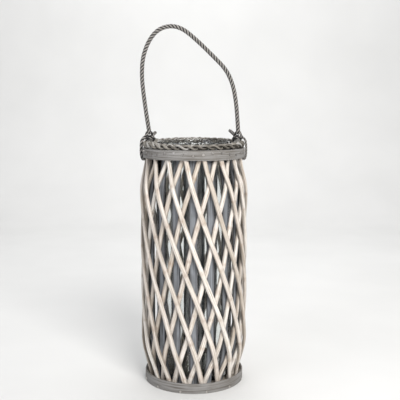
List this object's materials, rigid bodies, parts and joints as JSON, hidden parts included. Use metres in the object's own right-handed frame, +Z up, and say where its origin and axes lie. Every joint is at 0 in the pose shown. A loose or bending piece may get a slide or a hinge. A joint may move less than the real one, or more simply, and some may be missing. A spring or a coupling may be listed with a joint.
{
  "type": "hurricane candle lantern",
  "caption": "Hurricane candle lantern: willow lattice cage of slats and crossed rods between bent-wood hoops, wicker border, lift-out glass cylinder and rope handle.",
  "frame": {"origin": "on the table, under the centre of the base board", "axes": "+Z up along the cage's axis; +X towards the right-hand end of the rope handle; -Y is the front"},
  "size_m": [0.2118, 0.212, 0.703],
  "materials": {
    "bent_wood": "weathered grey, matt",
    "base_board_wood": "grey washed, matt",
    "weathered_slat": "blue-grey weathered, matt",
    "peeled_willow": "peeled and dried, satin",
    "wicker": "grey-brown willow, matt",
    "nail_steel": "bright nail heads",
    "clear_glass": "clear, polished",
    "twisted_rope": "two-tone twisted rope, charcoal and light grey"
  },
  "bodies": {
    "cage": {"base_board": "base_board_wood", "base_hoop": "bent_wood", "rim_band": "bent_wood", "rim_lining": "bent_wood", "rim_border": "wicker", "nails": "nail_steel", "rope_ends": "twisted_rope", "slat_01": "weathered_slat", "slat_02": "weathered_slat", "slat_03": "weathered_slat", "slat_04": "weathered_slat", "slat_05": "weathered_slat", "slat_06": "weathered_slat", "slat_07": "weathered_slat", "slat_08": "weathered_slat", "slat_09": "weathered_slat", "slat_10": "weathered_slat", "slat_11": "weathered_slat", "slat_12": "weathered_slat", "slat_13": "weathered_slat", "slat_14": "weathered_slat", "slat_15": "weathered_slat", "slat_16": "weathered_slat", "slat_17": "weathered_slat", "outer_rod_01": "peeled_willow", "outer_rod_02": "peeled_willow", "outer_rod_03": "peeled_willow", "outer_rod_04": "peeled_willow", "outer_rod_05": "peeled_willow", "outer_rod_06": "peeled_willow", "outer_rod_07": "peeled_willow", "outer_rod_08": "peeled_willow", "outer_rod_09": "peeled_willow", "outer_rod_10": "peeled_willow", "outer_rod_11": "peeled_willow", "outer_rod_12": "peeled_willow", "outer_rod_13": "peeled_willow", "outer_rod_14": "peeled_willow", "outer_rod_15": "peeled_willow", "outer_rod_16": "peeled_willow", "outer_rod_17": "peeled_willow", "inner_rod_01": "peeled_willow", "inner_rod_02": "peeled_willow", "inner_rod_03": "peeled_willow", "inner_rod_04": "peeled_willow", "inner_rod_05": "peeled_willow", "inner_rod_06": "peeled_willow", "inner_rod_07": "peeled_willow", "inner_rod_08": "peeled_willow", "inner_rod_09": "peeled_willow", "inner_rod_10": "peeled_willow", "inner_rod_11": "peeled_willow", "inner_rod_12": "peeled_willow", "inner_rod_13": "peeled_willow", "inner_rod_14": "peeled_willow", "inner_rod_15": "peeled_willow", "inner_rod_16": "peeled_willow", "inner_rod_17": "peeled_willow"},
    "glass": {"glass_cylinder": "clear_glass"},
    "handle": {"handle_rope": "twisted_rope"}
  },
  "joints": [
    {"name": "handle_swing", "type": "hinge", "parent": "cage", "child": "handle", "pos_m": [0, 0, 0.496], "axis": [1, 0, 0], "range_deg": [-90, 90]},
    {"name": "glass_lift", "type": "slide", "parent": "cage", "child": "glass", "axis": [0, 0, 1], "range_m": [0, 0.1]}
  ]
}
